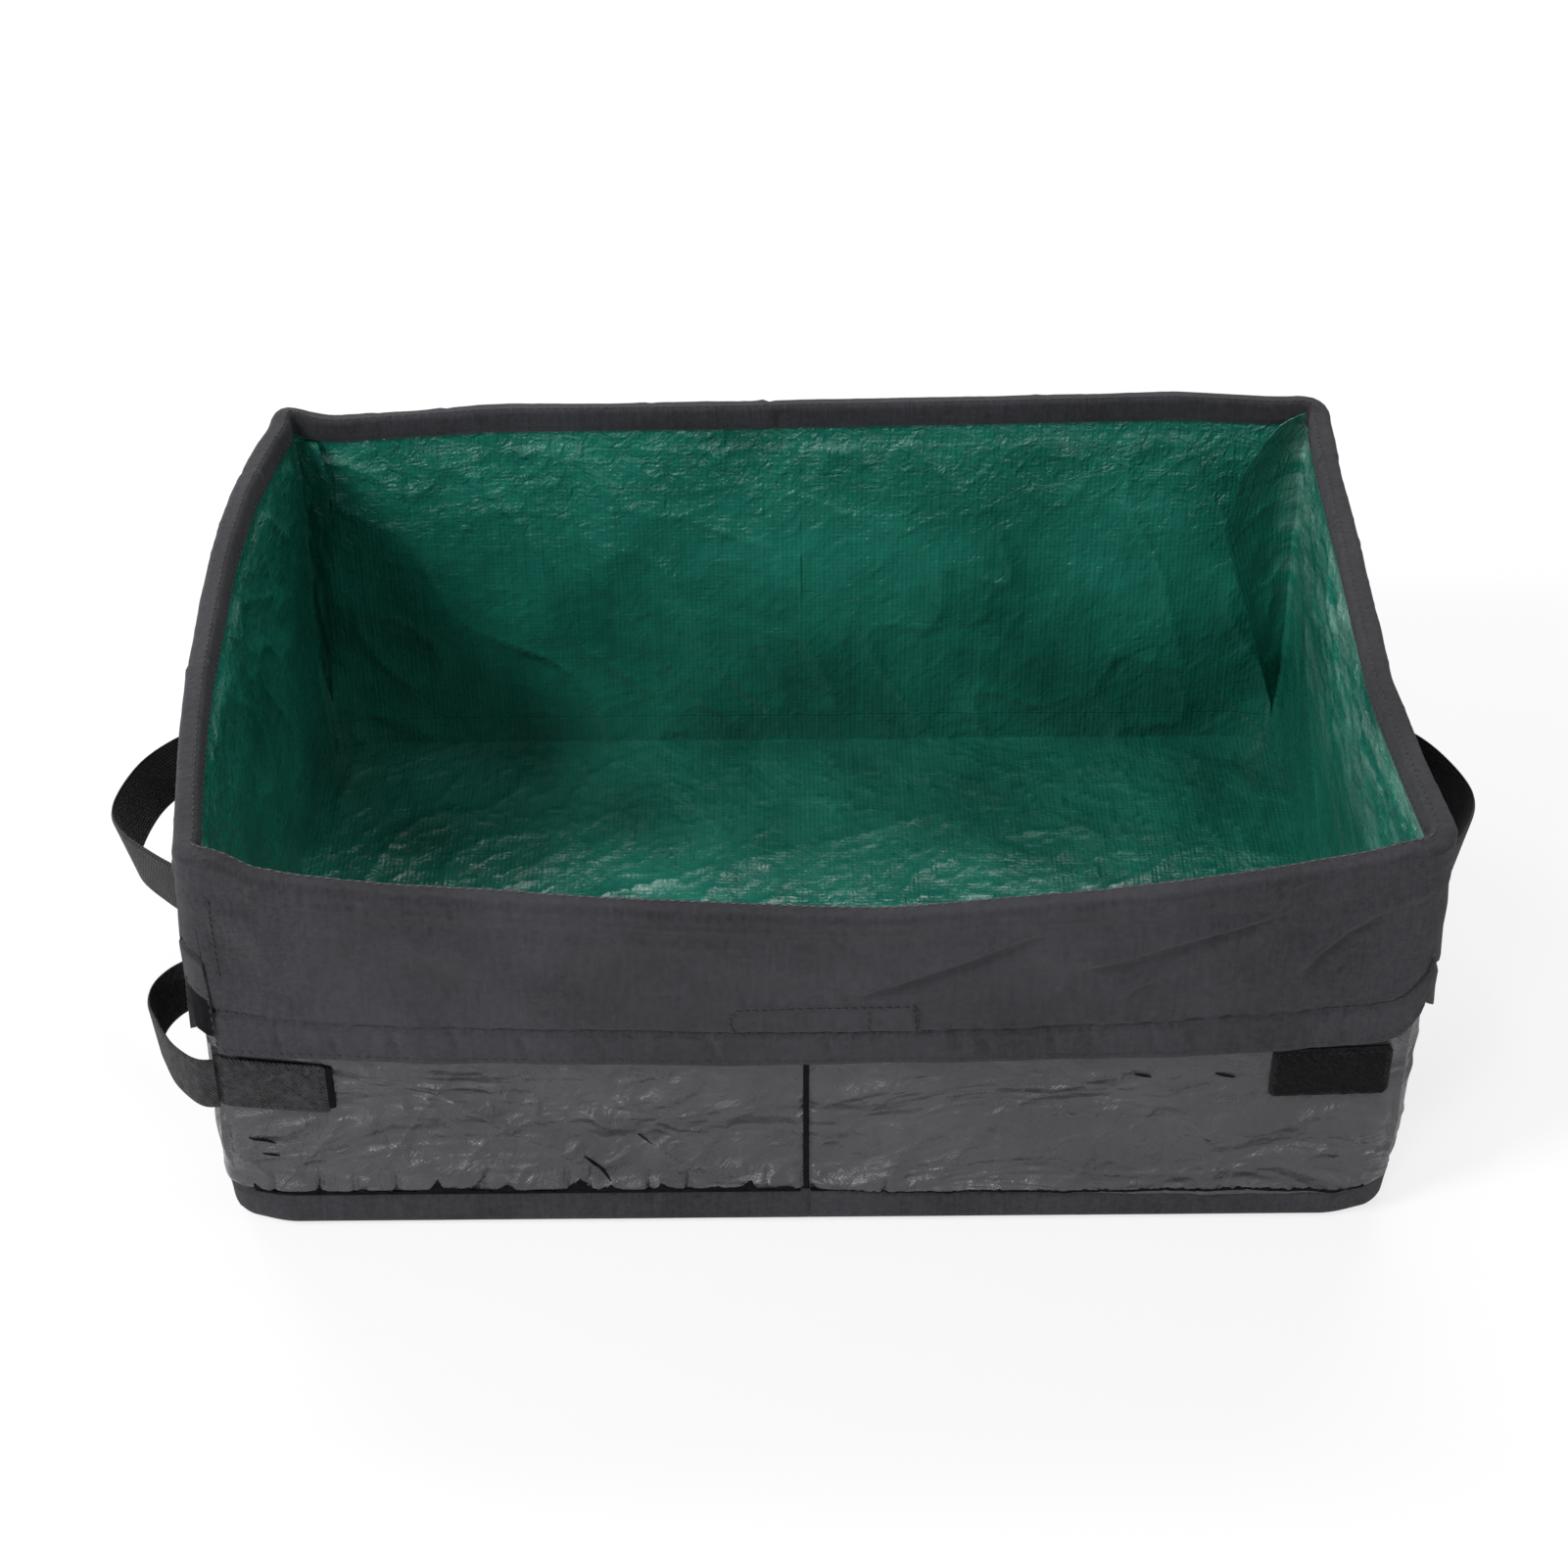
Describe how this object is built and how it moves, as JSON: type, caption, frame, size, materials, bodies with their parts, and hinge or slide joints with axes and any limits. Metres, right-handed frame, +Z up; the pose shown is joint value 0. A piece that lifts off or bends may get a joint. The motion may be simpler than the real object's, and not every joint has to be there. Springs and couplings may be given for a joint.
{
  "type": "foldable litter box",
  "caption": "Rectangular soft litter box with folding stiffened walls, green liner, turned-down skirt, end handles and closing strap.",
  "frame": {"origin": "middle of the underside, under the middle seam of the floor", "axes": "+X along the length to the right seen from the front, +Y towards the rear wall, +Z up"},
  "size_m": [0.5168, 0.2956, 0.168],
  "materials": {
    "oxford_cloth": "matte plain weave cloth",
    "shell_film": "satin coated cloth with fine creases",
    "green_liner": "glossy coated woven sheet",
    "stiffener": "matte sheet",
    "webbing": "ribbed black webbing",
    "loop_tape": "fuzzy black loop tape",
    "hook_tape": "black hook tape"
  },
  "bodies": {
    "base_left": {"base_sheet_left": "oxford_cloth", "base_band_left": "oxford_cloth", "floor_board_left": "stiffener", "riser_left": "shell_film", "floor_liner_left": "green_liner"},
    "base_right": {"base_sheet_right": "oxford_cloth", "base_band_right": "oxford_cloth", "floor_board_right": "stiffener", "riser_right": "shell_film", "floor_liner_right": "green_liner"},
    "front_left": {"front_left_cover": "shell_film", "front_left_board": "stiffener", "front_left_liner": "green_liner", "front_left_binding": "oxford_cloth", "front_middle_seam": "shell_film", "strap_anchor_patch": "loop_tape", "closing_strap_root": "webbing"},
    "front_right": {"front_right_cover": "shell_film", "front_right_board": "stiffener", "front_right_liner": "green_liner", "front_right_binding": "oxford_cloth", "loop_patch": "loop_tape"},
    "rear_left": {"rear_left_cover": "shell_film", "rear_left_board": "stiffener", "rear_left_liner": "green_liner", "rear_left_binding": "oxford_cloth", "rear_left_pleat": "green_liner"},
    "rear_right": {"rear_right_cover": "shell_film", "rear_right_board": "stiffener", "rear_right_liner": "green_liner", "rear_right_binding": "oxford_cloth", "rear_middle_seam": "shell_film", "rear_right_pleat": "green_liner"},
    "left_end": {"left_end_cover": "shell_film", "left_end_board": "stiffener", "left_end_liner": "green_liner", "left_end_binding": "oxford_cloth", "left_handle_tabs": "webbing"},
    "right_end": {"right_end_cover": "shell_film", "right_end_board": "stiffener", "right_end_liner": "green_liner", "right_end_binding": "oxford_cloth", "right_handle_tabs": "webbing"},
    "front_left_skirt": {"front_left_cuff": "oxford_cloth", "front_left_cuff_strip": "hook_tape"},
    "front_right_skirt": {"front_right_cuff": "oxford_cloth", "front_right_cuff_strip": "hook_tape"},
    "rear_left_skirt": {"rear_left_cuff": "oxford_cloth", "rear_left_cuff_strip": "loop_tape"},
    "rear_right_skirt": {"rear_right_cuff": "oxford_cloth", "rear_right_cuff_strip": "loop_tape"},
    "left_end_skirt": {"left_end_cuff": "oxford_cloth"},
    "right_end_skirt": {"right_end_cuff": "oxford_cloth"},
    "left_handle_loop": {"left_handle": "webbing"},
    "right_handle_loop": {"right_handle": "webbing"},
    "strap": {"closing_strap": "webbing", "strap_hook_tape": "hook_tape"}
  },
  "joints": [
    {"name": "floor_fold", "type": "hinge", "parent": "base_left", "child": "base_right", "pos_m": [0, 0, -0.0003], "axis": [0, 1, 0], "range_deg": [0, 180]},
    {"name": "front_fold", "type": "hinge", "parent": "base_left", "child": "front_left", "pos_m": [-0.1, -0.1401, 0.006], "axis": [-1, 0, 0], "range_deg": [0, 90]},
    {"name": "front_right_fold", "type": "hinge", "parent": "base_right", "child": "front_right", "pos_m": [0.1, -0.1401, 0.006], "axis": [-1, 0, 0], "range_deg": [0, 90]},
    {"name": "rear_fold", "type": "hinge", "parent": "base_left", "child": "rear_left", "pos_m": [-0.1, 0.1401, 0.017], "axis": [1, 0, 0], "range_deg": [0, 90]},
    {"name": "rear_right_fold", "type": "hinge", "parent": "base_right", "child": "rear_right", "pos_m": [0.1, 0.1401, 0.017], "axis": [1, 0, 0], "range_deg": [0, 90]},
    {"name": "left_end_fold", "type": "hinge", "parent": "base_left", "child": "left_end", "pos_m": [-0.2051, 0, 0.039], "axis": [0, 1, 0], "range_deg": [0, 90]},
    {"name": "right_end_fold", "type": "hinge", "parent": "base_right", "child": "right_end", "pos_m": [0.2051, 0, 0.028], "axis": [0, -1, 0], "range_deg": [0, 90]},
    {"name": "cuff_turn", "type": "hinge", "parent": "front_left", "child": "front_left_skirt", "pos_m": [-0.1, -0.1475, 0.154], "axis": [-1, 0, 0], "range_deg": [0, 180]},
    {"name": "front_right_cuff_turn", "type": "hinge", "parent": "front_right", "child": "front_right_skirt", "pos_m": [0.1, -0.1475, 0.154], "axis": [-1, 0, 0], "range_deg": [0, 180]},
    {"name": "rear_left_cuff_turn", "type": "hinge", "parent": "rear_left", "child": "rear_left_skirt", "pos_m": [-0.1, 0.1475, 0.154], "axis": [1, 0, 0], "range_deg": [0, 180]},
    {"name": "rear_right_cuff_turn", "type": "hinge", "parent": "rear_right", "child": "rear_right_skirt", "pos_m": [0.1, 0.1475, 0.154], "axis": [1, 0, 0], "range_deg": [0, 180]},
    {"name": "left_end_cuff_turn", "type": "hinge", "parent": "left_end", "child": "left_end_skirt", "pos_m": [-0.2125, 0, 0.154], "axis": [0, 1, 0], "range_deg": [0, 180]},
    {"name": "right_end_cuff_turn", "type": "hinge", "parent": "right_end", "child": "right_end_skirt", "pos_m": [0.2125, 0, 0.154], "axis": [0, -1, 0], "range_deg": [0, 180]},
    {"name": "left_handle_lift", "type": "hinge", "parent": "left_end", "child": "left_handle_loop", "pos_m": [-0.2088, 0, 0.077], "axis": [0, 1, 0], "range_deg": [0, 50]},
    {"name": "right_handle_lift", "type": "hinge", "parent": "right_end", "child": "right_handle_loop", "pos_m": [0.2088, 0, 0.077], "axis": [0, -1, 0], "range_deg": [0, 50]},
    {"name": "strap_swing", "type": "hinge", "parent": "base_left", "child": "strap", "pos_m": [-0.2038, -0.1464, 0.069], "axis": [0, 0, 1], "range_deg": [0, 100]}
  ],
  "couplings": [
    {"joint": "front_right_fold", "follows": "front_fold", "ratio": 1},
    {"joint": "rear_right_fold", "follows": "rear_fold", "ratio": 1},
    {"joint": "front_right_cuff_turn", "follows": "cuff_turn", "ratio": 1},
    {"joint": "rear_left_cuff_turn", "follows": "cuff_turn", "ratio": 1},
    {"joint": "rear_right_cuff_turn", "follows": "cuff_turn", "ratio": 1},
    {"joint": "left_end_cuff_turn", "follows": "cuff_turn", "ratio": 1},
    {"joint": "right_end_cuff_turn", "follows": "cuff_turn", "ratio": 1}
  ]
}
